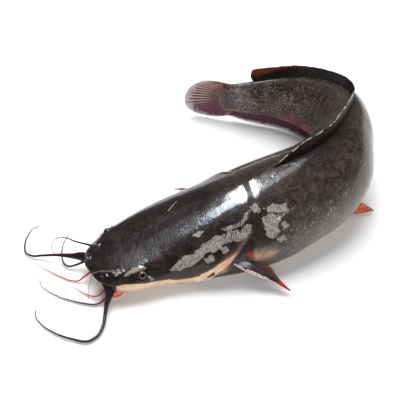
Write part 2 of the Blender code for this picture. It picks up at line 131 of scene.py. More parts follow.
def place(s, sideways, height):
    """Station, sideways to the right and height (mm) to x, y, z in metres: roll about the widest level,
    then the backbone's point plus sideways times its right-hand normal (-sin h, cos h)."""
    s, sideways, height = np.broadcast_arrays(*(np.asarray(v, float) for v in (s, sideways, height)))
    section = section_at(s)
    level, roll = section[2], np.radians(section[6])
    across = sideways * np.cos(roll) - (height - level) * np.sin(roll)
    up = level + sideways * np.sin(roll) + (height - level) * np.cos(roll)
    x, y, heading = (np.interp(s, SPINE[0], SPINE[k]) for k in (2, 3, 1))
    world = [x - across * np.sin(heading), y + across * np.cos(heading), np.maximum(up, 0)]
    return (np.stack(world, -1) - ORIGIN) * MM


def bare_skin(s, angle):
    """The section curve u = a cos^(2/n), z = level + (top or bottom reach) sin^(2/n), angle in degrees (0
    is the right side, 90 the back, 180 the left side, 270 the belly)."""
    half, top, level, bottom, upper, lower, _ = section_at(s)
    c, q = np.cos(np.radians(angle)), np.sin(np.radians(angle))
    power = np.where(q >= 0, 2 / upper, 2 / lower)
    sideways = half * np.sign(c) * np.abs(c) ** power
    height = level + np.where(q >= 0, top - level, level - bottom) * np.sign(q) * np.abs(q) ** power
    return place(s, sideways, height)


def random_hills(x, y, seed):
    """Smooth random heights from -1 to 1: random values on a unit grid, blended by smooth_step."""
    table = np.random.default_rng(seed).uniform(-1, 1, (64, 64))
    xi, yi = np.floor(x).astype(int), np.floor(y).astype(int)
    tx, ty = smooth_step(x - xi), smooth_step(y - yi)
    near = table[xi % 64, yi % 64] * (1 - tx) + table[(xi + 1) % 64, yi % 64] * tx
    far = table[xi % 64, (yi + 1) % 64] * (1 - tx) + table[(xi + 1) % 64, (yi + 1) % 64] * tx
    return near * (1 - ty) + far * ty


def distance_to(points, s, angle, girth):
    """Distance (mm) over the skin to a line of (station, angle) points: the least over its pieces of the
    distance to a + t (b - a), t between 0 and 1, with angles turned into mm by the girth per degree."""
    best = np.full(np.shape(s), 1e3)
    for (s0, a0), (s1, a1) in zip(points[:-1], points[1:]):
        ds, da = s1 - s0, (a1 - a0) * girth
        px, py = s - s0, (angle - a0) * girth
        t = np.clip((px * ds + py * da) / (ds * ds + da * da + 1e-9), 0, 1)
        best = np.minimum(best, np.hypot(px - t * ds, py - t * da))
    return best


def keep_above(points, lift):
    """Moves the points that are less than lift (mm) above the table up to it."""
    points[..., 2] = np.maximum(points[..., 2], lift * MM)


def bell(value, width):
    """exp(-(value / width)^2)"""
    return np.exp(-((value / width) ** 2))


EYE_STATION = 31.0
EYE_ANGLES = {"left": 150.0, "right": 31.5}
NOSTRILS = ((17, 126), (17, 54), (5, 122), (5, 58))
BROW_ANGLES = (134, 48)
CAP_ROWS, SKIN_COLUMNS, TAIL_END = 9, 232, 419
GILL_EDGE = ((-60, 70), (-30, 80), (-12, 91), (-4, 97), (2, 103), (8, 108), (13, 111), (28, 120), (38, 129),
             (60, 134))
PALE_TOP = ((9, 17), (15, 19), (22, 13), (30, 6), (41, 4), (54, 0), (66, -4), (77, -4), (87, 0), (95, 6),
            (102, 13), (108, 17), (113, 20), (118, 24))

ring_s = np.concatenate([np.linspace(0, 60, 84, endpoint=False), np.linspace(60, 150, 108, endpoint=False),
                         np.linspace(150, TAIL_END, 188)])
turn = np.linspace(-90, 270, SKIN_COLUMNS, endpoint=False)
S, A = np.meshgrid(ring_s, turn, indexing="ij")
P = bare_skin(S, A)
# The front is closed by rings that shrink by the cosine of a rising angle and move forward by its sine.
cap_row = np.arange(CAP_ROWS, 0, -1)
lift = np.radians(9.0 * cap_row)[:, None, None]
middle = P[0].mean(axis=0)
cap = middle + (P[0] - middle) * np.cos(lift) - np.array([1.5 * MM, 0, 0]) * np.sin(lift)
P = np.concatenate([cap, P])
S = np.concatenate([np.zeros((CAP_ROWS, len(turn))) - cap_row[:, None] * 0.16, S])
A = np.concatenate([np.repeat(A[:1], CAP_ROWS, 0), A])

along_skin = np.gradient(P, axis=0)
round_skin = np.roll(P, -1, 1) - np.roll(P, 1, 1)
outward = np.cross(round_skin, along_skin)
outward /= np.linalg.norm(outward, axis=-1, keepdims=True) + 1e-12
half, top, level, bottom, *_ = section_at(S)
girth = (half + (top - bottom) / 2) / 2 * math.pi / 180
rise = np.degrees(np.arcsin(np.clip(np.sin(np.radians(A)), -1, 1)))
left = stretch(A, 80, 100, 260, 280)
head_x, height = (P + ORIGIN * MM)[..., 0] / MM, P[..., 2] / MM

# Low relief on the skin, in mm. The gill cover rises slowly and ends in a step, with a groove behind it.
GILL_STEP, GILL_GROOVE = 1.7, 0.6
edge_angle, edge_s = np.array(GILL_EDGE, float).T
to_edge = S - np.interp(rise, edge_angle, edge_s)
on_side = stretch(rise, -60, -40, 40, 60)
relief = GILL_STEP * on_side * stretch(to_edge, -24, 0, 0, 2.6)
relief -= GILL_GROOVE * bell(to_edge - 3.2, 1.5) * on_side
# The bony shield of the head ends in a low fold across the nape, bent like a bow.
NAPE_FOLD, NAPE_GROOVE = 0.25, 0.22
nape = S - (137 - 12 * np.clip(np.abs(A - 96) / 60, 0, 1) ** 1.5)
nape_relief = NAPE_FOLD * fade(nape, -20, 0) * fade(nape, 3, -3) - NAPE_GROOVE * bell(nape - 3, 2.8)
relief += fade(rise, 32, 52) * nape_relief
# A shallow trough runs along the middle of the skull, and a low ridge over each eye makes the crown flat.
SKULL_TROUGH, BROW_HEIGHT = 0.35, 0.9
relief -= SKULL_TROUGH * bell((A - 90) * girth, 3.5) * stretch(S, 22, 32, 100, 112)
for ridge_angle in BROW_ANGLES:
    relief += BROW_HEIGHT * bell((A - ridge_angle) * girth, 5) * stretch(S, 8, 22, 42, 72)
# The mouth is a groove between two lips, round the front of the snout from corner to corner. The lower jaw
# is shorter than the upper one, so the front slopes back under the nose.
MOUTH_DEPTH, UPPER_LIP, LOWER_LIP, JAW_SHORTER, SNOUT_SLOPE = 2.0, 0.3, 0.5, 1.5, 4.3
mouth = height - (12.0 - 0.3 * np.clip(head_x, 0, 17))
at_front = fade(S, 18.5, 15.5)
lip_relief = UPPER_LIP * bell(mouth - 2.4, 1.4) + LOWER_LIP * bell(mouth + 2.0, 1.3)
relief += (lip_relief - MOUTH_DEPTH * bell(mouth, 0.8)) * at_front
relief -= JAW_SHORTER * fade(height, 13.5, 8.5) * fade(S, 15, 7)
P[..., 0] += SNOUT_SLOPE * MM * fade(height, 19.5, 14) * fade(S, 10, 1)
# A rim and a groove round each eye, a raised tube at each nostril, and a line of pores along each side.
EYE_RIM, EYE_GROOVE, NOSTRIL_RIM, NOSTRIL_DEPTH, PORE_LINE = 0.6, 0.9, 0.8, 0.9, 0.22
for eye_angle in EYE_ANGLES.values():
    from_eye = np.hypot(S - EYE_STATION, (A - eye_angle) * girth)
    relief += EYE_RIM * bell(from_eye - 6.1, 1.1) - EYE_GROOVE * bell(from_eye - 4.6, 0.9)
for nostril_s, nostril_angle in NOSTRILS:
    from_hole = np.hypot(S - nostril_s, (A - nostril_angle) * girth)
    relief += NOSTRIL_RIM * bell(from_hole - 1.7, 0.7) - NOSTRIL_DEPTH * bell(from_hole, 0.9)
from_line = (rise - 1 - 0.02 * (S - 140)) * girth
relief -= PORE_LINE * bell(from_line, 0.7) * stretch(S, 138, 148, 380, 400)
# Low swellings of flesh everywhere, and folds of skin, deep inside the bend and fine outside it.
SWELLING, SMALL_SWELLING, INNER_FOLDS, OUTER_FOLDS, INSET = 0.4, 0.1, 0.35, 0.09, 0.35
skin_y = A * girth
on_flank = fade(rise, 62, 37) * fade(S, 120, 180)
off_belly = fade(rise, -50, -25)
relief += SWELLING * random_hills(S / 23, skin_y / 19, 3) * on_flank * off_belly
relief += (0.04 + SMALL_SWELLING * on_flank) * random_hills(S / 7, skin_y / 8, 4) * off_belly
inner = fade(np.abs(A), 70, 30) * stretch(S, 235, 255, 315, 345)
relief += INNER_FOLDS * inner * np.sin(S * math.tau / 8.5 + 1.2 * random_hills(S / 14, skin_y / 12, 5))
outer = stretch(A, 105, 135, 185, 215) * stretch(S, 225, 245, 300, 330)
relief += OUTER_FOLDS * outer * np.sin(S * math.tau / 4.4 + 2.0 * random_hills(S / 12, skin_y / 16, 9))
relief = np.where(S > 405, relief * 0.2, relief) - INSET - 0.1 * outer
relief *= fade(height, 0.2, 1.7)
P = P + outward * (relief * MM)[..., None]
keep_above(P, 0)


def near(line, width, angle=A):
    """The bell of the distance over the skin to a line of (station, angle) points."""
    return bell(distance_to(line, S, angle, girth), width)


# What is painted: each mask is a number from 0 to 1 at every point. The first are the pale parts: the jaw,
# the belly, the pink rim of the gill cover, and the sores.
ragged = random_hills(S / 2.6, skin_y / 2.2, 6)
coarse = random_hills(S / 11, skin_y / 9, 7)
turned = np.where(A > 180, A - 360, A)
pale_s, pale_rise = np.array(PALE_TOP, float).T
below = (np.interp(S, pale_s, pale_rise) - rise) * girth
in_front = fade(to_edge, 1.0, -0.6)
paint = {"along": S, "around": skin_y}
jaw = np.clip(0.5 + below / 8, 0, 1) * in_front
paint["pale"] = np.where(S < 9, np.clip(0.5 - mouth / 8, 0, 1), jaw)
paint["belly"] = fade(rise - 7 * coarse, -22, -48) * (1 - in_front) * fade(S, 300, 250)
rim = bell(to_edge + 1.0, 1.9) * fade(rise, 2, 8) * (0.35 + 0.65 * fade(rise, 26, 18)) * fade(rise, 38, 33)
cheek = 0.75 * bell(to_edge + 4, 5) * bell(rise - 13, 8)
lips = at_front * bell(mouth + 0.3, 1.6)
corner = near([(9, 186), (15.5, 192)], 2.2)
paint["rose"] = np.clip(np.maximum(rim, cheek) + lips + corner, 0, 1)
sore = 0.4 * near([(298, -30), (325, -38), (350, -42)], 6.0, turned) * (0.7 + 0.3 * ragged)
paint["blood"] = np.clip(0.85 * near([(125, 165), (127, 170)], 1.6) + sore, 0, 1)
paint["amber"] = near([(92, 186), (104, 178)], 3.4) * fade(to_edge, 0.8, 2.3) * left
behind_fin = near([(130, 171), (135, 174), (141, 174)], 5.5)
paint["tan"] = np.clip(behind_fin * (1.1 + 0.5 * ragged), 0, 1) * fade(S, 126, 130)
paint["slit"] = near([(91, 184.5), (96, 181)], 1.15)
# The grey patches of dried slime and painted reflection, as outlines of (station, angle) points, and two
# scratches.
SLIME_AND_REFLECTION_PATCHES = (
    ((55, 159), (60, 154), (65, 149), (71, 145), (76, 146), (81, 145), (86, 141), (91, 138), (97, 136),
     (102, 134), (110, 136), (115, 134), (122, 138), (125, 134), (130, 135), (129, 141), (123, 146),
     (119, 147), (112, 144), (105, 146), (99, 151), (92, 148), (88, 153), (80, 160), (71, 163), (63, 164)),
    ((108, 129), (118, 130), (124, 128), (129, 123), (133, 122), (130, 127), (125, 132), (117, 133),
     (110, 132)),
    ((104, 148), (108, 149), (110, 155), (105, 155)),
    ((89, 157), (96, 154), (98, 162), (92, 165)),
    ((133, 119), (138, 118), (140, 126), (134, 125)),
    ((143, 126), (147, 127), (151, 125), (153, 129), (159, 130), (161, 138), (155, 136), (149, 132),
     (145, 130)),
    ((139, 134), (145, 132), (151, 137), (152, 141), (149, 147), (150, 152), (144, 157), (140, 151),
     (140, 144)),
    ((153, 146), (156, 145), (158, 150), (154, 152)),
    ((147, 158), (151, 157), (154, 163), (149, 164)),
    ((84, 123), (90, 121), (94, 123), (90, 126)),
    # The last three, round the eye, are painted highlights of the wet brow ridge.
    ((18, 136), (22, 133), (27, 130), (32, 133), (37, 138), (33, 141), (26, 137), (21, 140)),
    ((12, 119), (17, 120), (17, 130), (13, 131)),
    ((34, 156), (37, 158), (39, 170), (36, 168)),
)
SCRATCHES = (((75, 78), (79, 74), (84, 69)),
             ((167, 86), (170, 95), (174, 97), (178, 98), (180, 103), (182, 109)))


def depth_inside(outline, s, angle, girth):
    """How far (mm) a point is inside a closed outline: the distance to its nearest side, negative outside.
    A point is inside when a line from it towards larger s crosses the outline an odd number of times."""
    closed = list(outline) + [outline[0]]
    crossings = np.zeros(np.shape(s), int)
    for (s0, a0), (s1, a1) in zip(closed[:-1], closed[1:]):
        spans = (a0 > angle) != (a1 > angle)
        meets = s0 + (angle - a0) * (s1 - s0) / (a1 - a0 if a1 != a0 else 1e-9)
        crossings += spans & (s < meets)
    return distance_to(closed, s, angle, girth) * np.where(crossings % 2 == 1, 1, -1)


# How deep each point lies in the grey patches: dried slime and painted reflection of the wet skin.
deepest = np.full(S.shape, -1e3)
for outline in SLIME_AND_REFLECTION_PATCHES:
    deepest = np.maximum(deepest, depth_inside(outline, S, A, girth))
paint["slime_and_reflection"] = np.clip(0.5 + (deepest + 0.4 + 0.5 * ragged) / 8, 0, 1)
from_scratch = np.minimum(*(distance_to(line, S, A, girth) for line in SCRATCHES))
paint["scratch"] = np.clip(1 - from_scratch / 6, 0, 1)
paint["ripple"] = near([(114, 136), (128, 128)], 8)
# The darker and lighter regions of the skin, with painted shade inside the tail's bend among them, and where
# it is drawn tight over bone or lies in wrinkles.
tail = fade(S, 300, 360)
flank = fade(rise, 52, 17) * fade(S, 150, 210)
paint["speck"] = np.clip(0.2 * flank + 0.2 * fade(S, 255, 295) + 0.8 * tail * fade(rise, 70, 40), 0, 1)
paint["tail"] = tail
# Painted shade: the inside of the tail's bend is darker.
paint["dusk"] = fade(np.abs(turned + 5), 75, 35) * stretch(S, 255, 285, 322, 372)
paint["crown"] = fade(rise, 8, 38) * fade(S, 150, 105)
paint["fleck"] = stretch(S, 138, 158, 280, 320) * fade(rise, 48, 23)
paint["tight"] = near([(118, 104), (128, 98)], 15)
paint["wrinkled"] = near([(70, 120), (90, 115), (104, 111)], 8)
paint["grey"] = fade(rise, 46, -14) * fade(S, 125, 195) * (1 - 0.8 * fade(S, 265, 305))
paint["olive"] = stretch(S, 130, 170, 295, 345) * fade(rise, 84, 54)
blotches = 0.6 * smooth_step((coarse - 0.1) * 3) * fade(S, 275, 300) * fade(rise, 35, 5)
paint["maroon"] = np.clip(fade(rise, 2, -24) * fade(S, 262, 292) + blotches, 0, 1)


def new_piece(name, points, faces):
    """A piece of these points and faces, shaded smooth."""
    mesh = bpy.data.meshes.new(name)
    mesh.from_pydata(points, [], faces)
    mesh.update()
    piece = bpy.data.objects.new(name, mesh)
    bpy.context.scene.collection.objects.link(piece)
    mesh.shade_smooth()
    return piece


def ring_mesh(name, points, poles):
    """A mesh from a grid of points [rows, columns, 3], its columns joined into rings, and each end row
    closed by a fan onto a pole point."""
    rows, columns = points.shape[:2]
    r = np.arange(rows - 1)[:, None] * columns
    c = np.arange(columns)
    n = (c + 1) % columns
    quads = np.stack([r + c, r + n, r + columns + n, r + columns + c], -1).reshape(-1, 4)
    faces = [tuple(q) for q in quads.tolist()]
    first_pole = rows * columns
    faces += [(first_pole, (k + 1) % columns, k) for k in range(columns)]
    last = first_pole - columns
    faces += [(first_pole + 1, last + k, last + (k + 1) % columns) for k in range(columns)]
    return new_piece(name, np.concatenate([points.reshape(-1, 3), np.array(poles)]).tolist(), faces)


def dress(piece, look, masks, spare=0):
    """Stores each mask as a point attribute, 0 at the spare points at the end, turns the faces so that the
    volume, a sum of a . (b x c) over the triangles, is positive, and gives the piece its material."""
    mesh = piece.data
    for name, values in masks.items():
        flat = np.concatenate([np.asarray(values, np.float32).reshape(-1), np.zeros(spare, np.float32)])
        mesh.attributes.new(name, "FLOAT", "POINT").data.foreach_set("value", flat)
    mesh.calc_loop_triangles()
    points = np.empty(len(mesh.vertices) * 3, np.float32)
    mesh.vertices.foreach_get("co", points)
    corners = np.empty(len(mesh.loop_triangles) * 3, np.int32)
    mesh.loop_triangles.foreach_get("vertices", corners)
    a, b, c = points.reshape(-1, 3)[corners.reshape(-1, 3)].transpose(1, 0, 2).astype(float)
    if (a * np.cross(b, c)).sum() < 0:
        mesh.flip_normals()
    mesh.materials.append(look)


def rgb(red, green, blue):
    """A colour given as it looks on a screen, 0 to 255, as the linear light a shader takes."""
    value = np.array([red, green, blue]) / 255
    linear = np.where(value <= 0.04045, value / 12.92, ((value + 0.055) / 1.055) ** 2.4)
    return (*linear.tolist(), 1.0)


class Shader:
    """One wet material: a Principled BSDF and short calls for the nodes that feed it. A word given where a
    node takes a value is the name of a mask."""

    def __init__(self, name, coat, coat_roughness):
        self.material = bpy.data.materials.new(name)
        self.material.use_nodes = True
        self.tree = self.material.node_tree
        self.surface = self.tree.nodes["Principled BSDF"]
        self.surface.inputs["Coat Weight"].default_value = coat
        self.surface.inputs["Coat Roughness"].default_value = coat_roughness
        self.surface.inputs["Coat IOR"].default_value = 1.33
        self.surface.inputs["Specular IOR Level"].default_value = 0.07
        self.object_place = self.tree.nodes.new("ShaderNodeTexCoord").outputs["Object"]
        self.colour = rgb(0, 0, 0)

    def node(self, kind, inputs, output=0, **settings):
        made = self.tree.nodes.new("ShaderNode" + kind)
        for name, value in settings.items():
            setattr(made, name, value)
        for key, value in inputs.items():
            value = self.mask(value) if isinstance(value, str) else value
            if isinstance(value, bpy.types.NodeSocket):
                self.tree.links.new(value, made.inputs[key])
            else:
                made.inputs[key].default_value = value
        return made.outputs[output]

    def mask(self, name):
        return self.node("Attribute", {}, 2, attribute_name=name)

    def noise(self, scale, detail=3, rough=0.6, warp=0.0, at=None):
        shape = {"Scale": scale, "Detail": detail, "Roughness": rough, "Distortion": warp}
        return self.node("TexNoise", {"Vector": at or self.object_place, **shape})

    def math(self, operation, a, b=0.0):
        return self.node("Math", {0: a, 1: b}, operation=operation)

    def times(self, value, *others):
        """The product of all that is given."""
        for other in others:
            value = self.math("MULTIPLY", value, other)
        return value

    def jitter(self, value, noise, amount):
        """value + amount (noise - 0.5)"""
        return self.math("ADD", value, self.times(self.math("SUBTRACT", noise, 0.5), amount))

    def rays(self, across, count=1):
        """A sine wave, count times over where across goes from 0 to 1."""
        return self.math("SINE", self.times(across, math.tau * count))

    def place_by(self, first, first_scale, second, second_scale):
        """A place made of two masks, for a pattern that follows the piece."""
        spread = {0: self.times(first, first_scale), 1: self.times(second, second_scale)}
        return self.node("CombineXYZ", spread)

    def ramp(self, value, low, high, to_low=0.0, to_high=1.0):
        inputs = {0: value, 1: low, 2: high, 3: to_low, 4: to_high}
        return self.node("MapRange", inputs, interpolation_type="SMOOTHSTEP")

    def mix(self, share, a, b):
        return self.node("Mix", {0: share, 6: a, 7: b}, 2, data_type="RGBA", blend_type="MIX")

    def tones(self, value, low, high, first, second):
        """The first screen colour, turning into the second as the value goes from low to high."""
        return self.mix(self.ramp(value, low, high), rgb(*first), rgb(*second))

    def cover(self, share, paint):
        """Covers a share, 0 to 1, of the colour so far with a screen colour or with what a node gives."""
        self.colour = self.mix(share, self.colour, rgb(*paint) if isinstance(paint, tuple) else paint)

    def bump(self, height, depth, strength=1.0, under=None):
        """Relief of a depth in mm, on top of the relief under it."""
        inputs = {"Height": height, "Distance": depth * MM, "Strength": strength}
        return self.node("Bump", {**inputs, "Normal": under} if under else inputs)

    def finish(self, roughness, normal=None, coat_normal=None):
        fed = {"Base Color": self.colour, "Roughness": roughness, "Normal": normal}
        fed["Coat Normal"] = coat_normal or normal
        for socket, value in fed.items():
            if value is not None:
                self.tree.links.new(value, self.surface.inputs[socket])
        return self.material


def skin_material():
    look = Shader("wet_skin", 0.9, 0.05)
    along, around = look.mask("along"), look.mask("around")
    fibres = look.noise(1.0, 2, 0.6, 0.3, look.place_by(along, 0.9, around, 0.28))
    # Brown-black with olive blotches, a bony crown, greyer and flecked down the flank.
    look.colour = look.tones(look.noise(60, 4, 0.6, 0.4), 0.38, 0.62, (38, 30, 29), (54, 45, 42))
    olive = look.ramp(look.noise(140, 5, 0.7, 0.6), 0.44, 0.6)
    look.cover(look.times(olive, "olive", 0.38), (100, 90, 76))
    look.cover(look.times(look.ramp(look.noise(420), 0.5, 0.7), 0.4), (92, 84, 78))
    bony = look.tones(look.noise(95, 4, 0.65, 1.0), 0.46, 0.66, (16, 11, 11), (50, 40, 37))
    look.cover(look.times("crown", 0.8), bony)
    look.cover(look.times("grey", 0.75), (122, 117, 113))
    flecks = look.ramp(look.noise(1.0, 3, 0.65, 0.5, look.place_by(along, 1.0, around, 0.35)), 0.53, 0.62)
    patches = look.ramp(look.noise(80), 0.42, 0.58)
    look.cover(look.times(flecks, patches, "fleck", 0.55), (166, 158, 150))
    # The tail is browner, with painted shade darkening the inside of the bend, and bluish before the dark
    # bar at the fin's root.
    tail_brown = look.tones(look.noise(120, 4, 0.65, 0.4), 0.42, 0.62, (32, 23, 20), (76, 60, 51))
    look.cover(look.times("tail", 0.7), tail_brown)
    # The painted shade inside the bend, patchy.
    dusk = look.ramp(look.noise(90), 0.3, 0.7, 0.45, 0.85)
    look.cover(look.times("dusk", dusk), (42, 29, 28))
    bluish = look.tones(look.noise(240), 0.42, 0.62, (92, 84, 86), (158, 150, 150))
    look.cover(look.ramp(along, 378, 402, 0.0, 0.6), bluish)
    look.cover(look.times("maroon", 0.8), (62, 30, 38))
    uneven = look.math("ADD", along, look.ramp(look.noise(170, 3, 0.7), 0.35, 0.65, -2.5, 2.5))
    look.cover(look.ramp(uneven, 413, 417), (96, 56, 54))
    look.cover(look.times(look.ramp(uneven, 407, 411), look.ramp(uneven, 418, 414), 0.8), (40, 31, 31))
    dots = look.ramp(look.noise(760, 2, 0.55, 0.3), 0.53, 0.64)
    look.cover(look.times(dots, look.ramp(look.noise(95, 2, 0.5), 0.33, 0.6), "speck", 0.8), (168, 148, 134))
    # The grey patches of dried slime and painted reflection are torn at their edge, pitted, and combed into
    # ripples behind the cheek.
    slime_and_reflection = look.ramp(look.jitter("slime_and_reflection", look.noise(330, 5, 0.8), 0.75), 0.49, 0.53)
    waves = look.math("ADD", look.times(along, 2.6), look.times(look.noise(150, 3, 0.65), 26))
    waves = look.math("SINE", look.math("ADD", waves, look.times(around, 1.1)))
    gaps = look.times(look.ramp(waves, 0.0, 0.5), look.ramp(look.noise(210, 2, 0.5), 0.36, 0.48), "ripple")
    pits = look.ramp(look.noise(1300, 2, 0.6), 0.4, 0.34)
    slime_and_reflection = look.times(slime_and_reflection, look.math("SUBTRACT", 1.0, look.math("MAXIMUM", gaps, pits)))
    # The grey of the patches is slime colour and painted reflection together.
    slime_and_reflection_grey = look.tones(look.noise(500), 0.35, 0.65, (128, 122, 116), (178, 171, 163))
    look.cover(look.times(slime_and_reflection, 0.92), slime_and_reflection_grey)
    scratch = look.ramp("scratch", 0.89, 0.97)
    look.cover(look.times(scratch, look.ramp(look.noise(260, 2, 0.5), 0.35, 0.5, 0.1, 0.7)), (190, 182, 174))
    # The jaw is cream under a frayed brown fringe. The belly, the rims and the sores come last.
    frayed = look.jitter("pale", look.noise(300), 0.22)
    look.cover(look.ramp(frayed, 0.2, 0.46, 0.0, 0.7), (104, 72, 52))
    cream = look.tones(look.noise(120), 0.35, 0.65, (236, 208, 178), (222, 186, 156))
    look.cover(look.ramp(frayed, 0.47, 0.55), cream)
    look.cover("belly", (200, 180, 164))
    look.cover("tan", (168, 138, 118))
    look.cover("amber", (206, 156, 106))
    look.cover(look.times("rose", 0.75), (196, 134, 124))
    look.cover("blood", (170, 36, 36))
    look.cover(look.ramp("slit", 0.35, 0.6), (58, 40, 30))
    # Flesh, fibres and the patches of slime and painted reflection make the skin's relief. The slime on it
    # is smoother where the skin is tight.
    wet = look.math("ADD", look.ramp(look.noise(150), 0.35, 0.65, 0.26, 0.38), look.times(slime_and_reflection, 0.2))
    raised = look.bump(fibres, 0.3, under=look.bump(look.noise(150, 3, 0.55), 0.5))
    raised = look.bump(slime_and_reflection, 0.2, under=raised)
    loose = look.times(look.ramp("tight", 0, 1, 1, 0.4), look.ramp("crown", 0, 1, 1, 0.4))
    slime = look.bump(look.noise(140, 2, 0.5, 0.8), 0.13, loose)
    slime = look.bump(fibres, 0.09, loose, slime)
    slime = look.bump(look.noise(210, 2, 0.5, 1.2), 0.17, "wrinkled", slime)
    slime = look.bump(fibres, 0.08, "wrinkled", slime)
    # Where the shade inside the bend is painted, the coat is thinner too.
    look.tree.links.new(look.ramp("dusk", 0, 1, 0.9, 0.3), look.surface.inputs["Coat Weight"])
    return look.finish(wet, raised, slime)


skin = ring_mesh("skin", P, (P[0].mean(axis=0) - (0.05 * MM, 0, 0), P[-1].mean(axis=0)))
dress(skin, skin_material(), paint, 2)
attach(skin, "root")
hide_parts("catfish")


# The eyes. They are small and set wide apart on the flat head: a dark pupil in a brown-pink iris under a
# clear, slightly bulging window, and a dark rim where the skin folds round them. The right one is painted
# darker.

EYE_DARKENED = {"left": 0.0, "right": 0.8}
EYE_DEPTH, EYE_RADIUS, WINDOW_BULGE = 2.9, 4.45, 0.22
EYE_ROWS, EYE_COLUMNS = 40, 48


def eye_centre(angle):
    """The eye's centre, EYE_DEPTH under the skin at its station, and the way it looks, the skin's normal."""
    here = bare_skin(EYE_STATION, angle)
    ahead = bare_skin(EYE_STATION + 1, angle) - bare_skin(EYE_STATION - 1, angle)
    round_it = bare_skin(EYE_STATION, angle + 1.0) - bare_skin(EYE_STATION, angle - 1.0)
    look_way = np.cross(round_it, ahead)
    look_way /= np.linalg.norm(look_way)
    return here - look_way * EYE_DEPTH * MM, look_way


def eye_material():
    look = Shader("wet_eye", 1.0, 0.02)
    off = look.mask("off_axis")
    iris = look.tones(look.noise(1800, 2, 0.6), 0.35, 0.65, (74, 52, 48), (122, 90, 84))
    look.colour = look.mix(look.ramp(off, 22, 26), rgb(12, 8, 8), iris)
    look.cover(look.ramp(off, 42, 47), (44, 32, 30))
    look.cover(look.ramp(off, 52, 62), (30, 23, 22))
    look.cover("darkened", (38, 28, 26))
    return look.finish(look.ramp(off, 0, 60, 0.12, 0.2))


wet_eye = eye_material()
for eye_name, eye_angle in EYE_ANGLES.items():
    centre, look_way = eye_centre(eye_angle)
    off = np.radians(np.linspace(3, 177, EYE_ROWS))
    spin = np.linspace(0, math.tau, EYE_COLUMNS, endpoint=False)
    side_a = np.cross(look_way, (0, 0, 1.0))
    side_a /= np.linalg.norm(side_a)
    side_b = np.cross(look_way, side_a)
    radius = (EYE_RADIUS + WINDOW_BULGE * bell(np.degrees(off), 34)) * MM
    ring = np.cos(spin)[:, None] * side_a + np.sin(spin)[:, None] * side_b
    way = np.cos(off)[:, None, None] * look_way + np.sin(off)[:, None, None] * ring
    poles = (centre + look_way * radius[0], centre - look_way * radius[-1])
    eye = ring_mesh("eyeball_" + eye_name, centre + radius[:, None, None] * way, poles)
    off_axis = np.repeat(np.degrees(off)[:, None], EYE_COLUMNS, 1)
    dress(eye, wet_eye, {"off_axis": off_axis, "darkened": np.full(off_axis.shape, EYE_DARKENED[eye_name])}, 2)
    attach(eye, "root")
    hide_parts("eye_" + eye_name)


# The fins. Each is a thin wet skin over soft rays. The long back fin is near black with a red-brown margin
# towards the tail and a painted highlight along its margin in front, the one under the tail is maroon with
# a clear edge, and the tail fin is round, dark at its root.

DORSAL_FIN = ((163, 0.2), (170, 4.0), (180, 8.5), (195, 12.0), (215, 13.0), (245, 12.5), (275, 10.5),
              (305, 9.5), (330, 10.0), (352, 11.3), (375, 12.0), (385, 11.2))
ANAL_FIN = ((238, 12, 2.2, 14, 1.1), (252, 12, 2.6, 23, 1.0), (275, 9, 3.2, 21, 1.0), (298, 4, 6.5, 15, 1.0),
            (320, 0, 10, 7, 0.8), (345, 0, 12, 3, 0.6), (368, 0, 13, 2, 0.8), (390, 0, 13, 1, 1.8),
            (402, 0, 12.5, 0, 3.2), (409, 0, 12, 0, 4.6))
TAIL_FIN = ((411, 40.5), (424, 41.4), (434, 40), (443.5, 34.8), (449.8, 27), (452.3, 17.5), (450.3, 8.8),
            (444, 4), (432, 1.4), (420, 2.0), (409, 4.6))
FIN_LIFT, MARGIN_LIFT = 0.2, 1.0
BACK_FIN_START, BACK_FIN_END = 163, 385
ANAL_FIN_START, ANAL_FIN_END = 240, 409
FIN_ROWS, BACK_FIN_COLUMNS, ANAL_FIN_COLUMNS, TAIL_COLUMNS = 14, 560, 440, 200


def even_path(points, count):
    """Points at even distances along a smooth line through the given ones: hermite in each coordinate."""
    points = np.asarray(points, float)
    t = np.concatenate([[0], np.cumsum(np.linalg.norm(np.diff(points, axis=0), axis=1))])
    slope = np.gradient(points, t, axis=0)
    fine = np.linspace(0, t[-1], 400)
    i = np.clip(np.searchsorted(t, fine, side="right") - 1, 0, len(t) - 2)
    step = (t[i + 1] - t[i])[:, None]
    u = (fine - t[i])[:, None] / step
    line = hermite(u, points[i], points[i + 1], step * slope[i], step * slope[i + 1])
    walked = np.concatenate([[0], np.cumsum(np.linalg.norm(np.diff(line, axis=0), axis=1))])
    at = np.linspace(0, walked[-1], count)
    return np.stack([np.interp(at, walked, line[:, k]) for k in range(points.shape[1])], -1)


